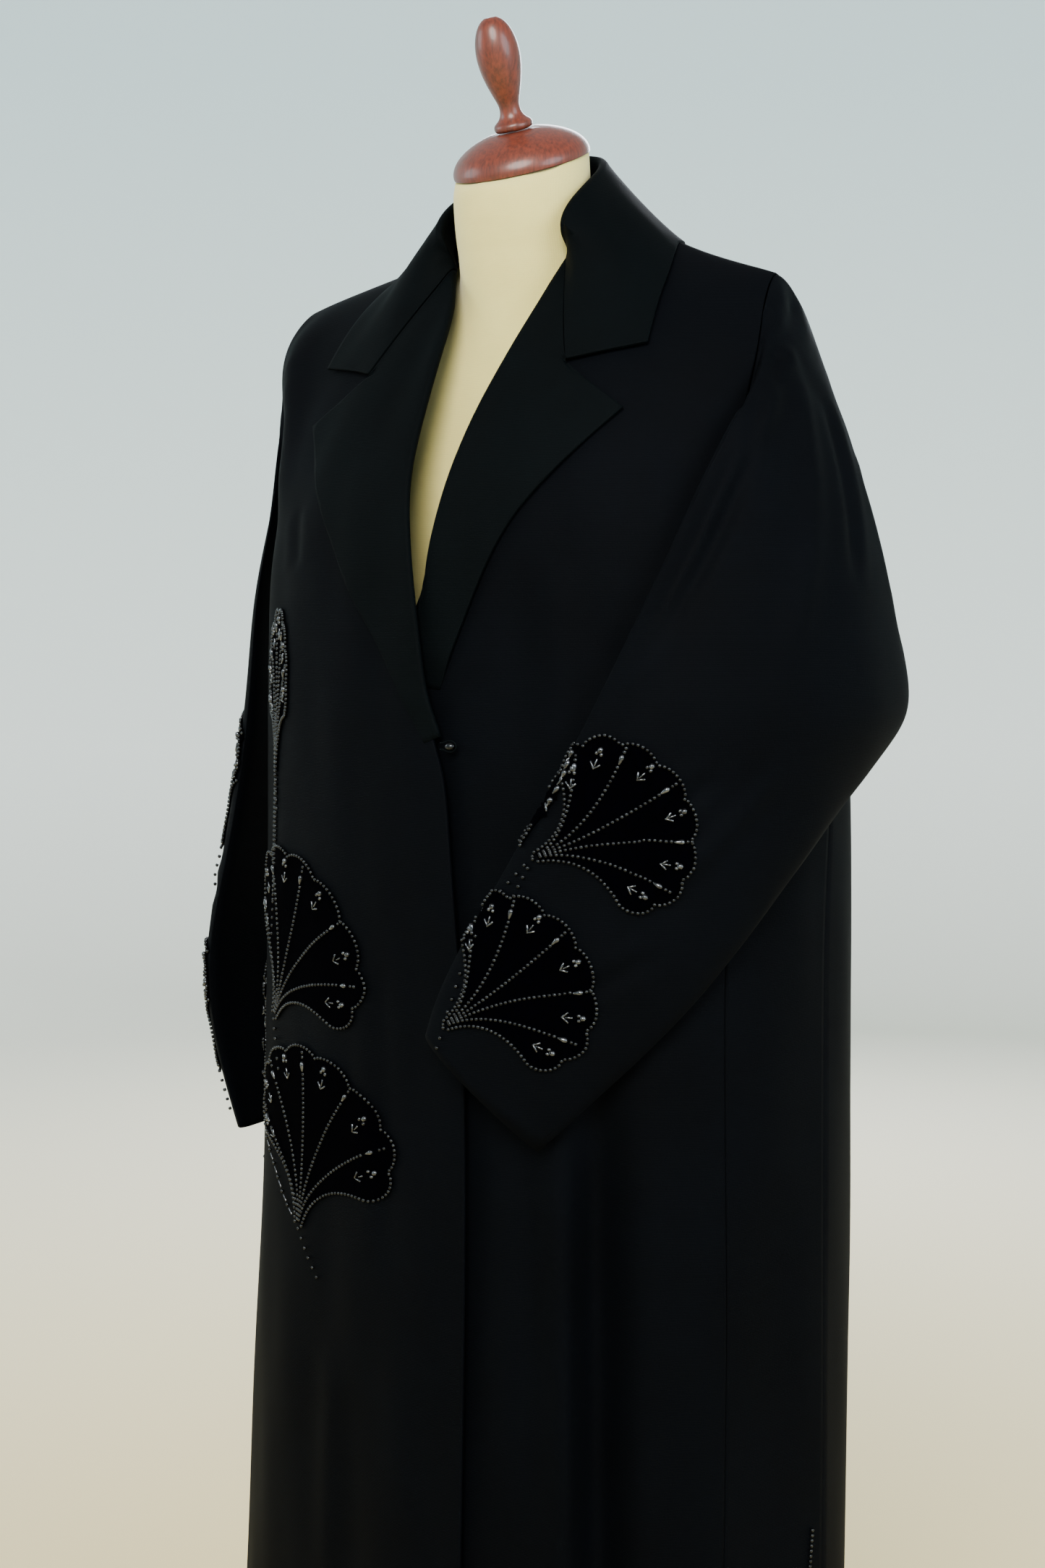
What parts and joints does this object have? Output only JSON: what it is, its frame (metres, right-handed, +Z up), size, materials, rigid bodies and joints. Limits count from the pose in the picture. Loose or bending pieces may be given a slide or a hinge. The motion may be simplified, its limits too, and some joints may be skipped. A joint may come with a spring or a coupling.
{
  "type": "abaya cloak on a limbless dress form",
  "caption": "Long black abaya cloak with notched lapels and beaded leaf motifs, draped on a limbless dress form on a pole stand, to show the garment as worn.",
  "frame": {"origin": "On the floor, under the middle of the stand's round base.", "axes": "Z up; the garment faces -Y; +X is the wearer's left."},
  "size_m": [0.6522, 0.4343, 1.6399],
  "materials": {
    "crepe": "matte",
    "velvet": "matte",
    "bead": "polished",
    "jersey": "matte",
    "mahogany": "satin",
    "steel": "satin"
  },
  "bodies": {
    "root": {"back": "crepe", "base_board": "mahogany", "button": "bead", "button_loop": "crepe", "collar": "crepe", "finial": "mahogany", "form_torso": "jersey", "leaf_left_sleeve_inner": "velvet", "leaf_left_sleeve_lower": "velvet", "leaf_left_sleeve_upper": "velvet", "leaf_right_front_low": "velvet", "leaf_right_front_middle": "velvet", "leaf_right_front_top": "velvet", "leaf_right_side": "velvet", "leaf_right_sleeve_lower": "velvet", "leaf_right_sleeve_upper": "velvet", "left_front": "crepe", "left_lapel": "crepe", "left_side": "crepe", "left_sleeve": "crepe", "neck_cap": "mahogany", "right_front": "crepe", "right_lapel": "crepe", "right_side": "crepe", "right_sleeve": "crepe", "stand_base": "mahogany", "stand_pole": "steel"}
  },
  "joints": []
}
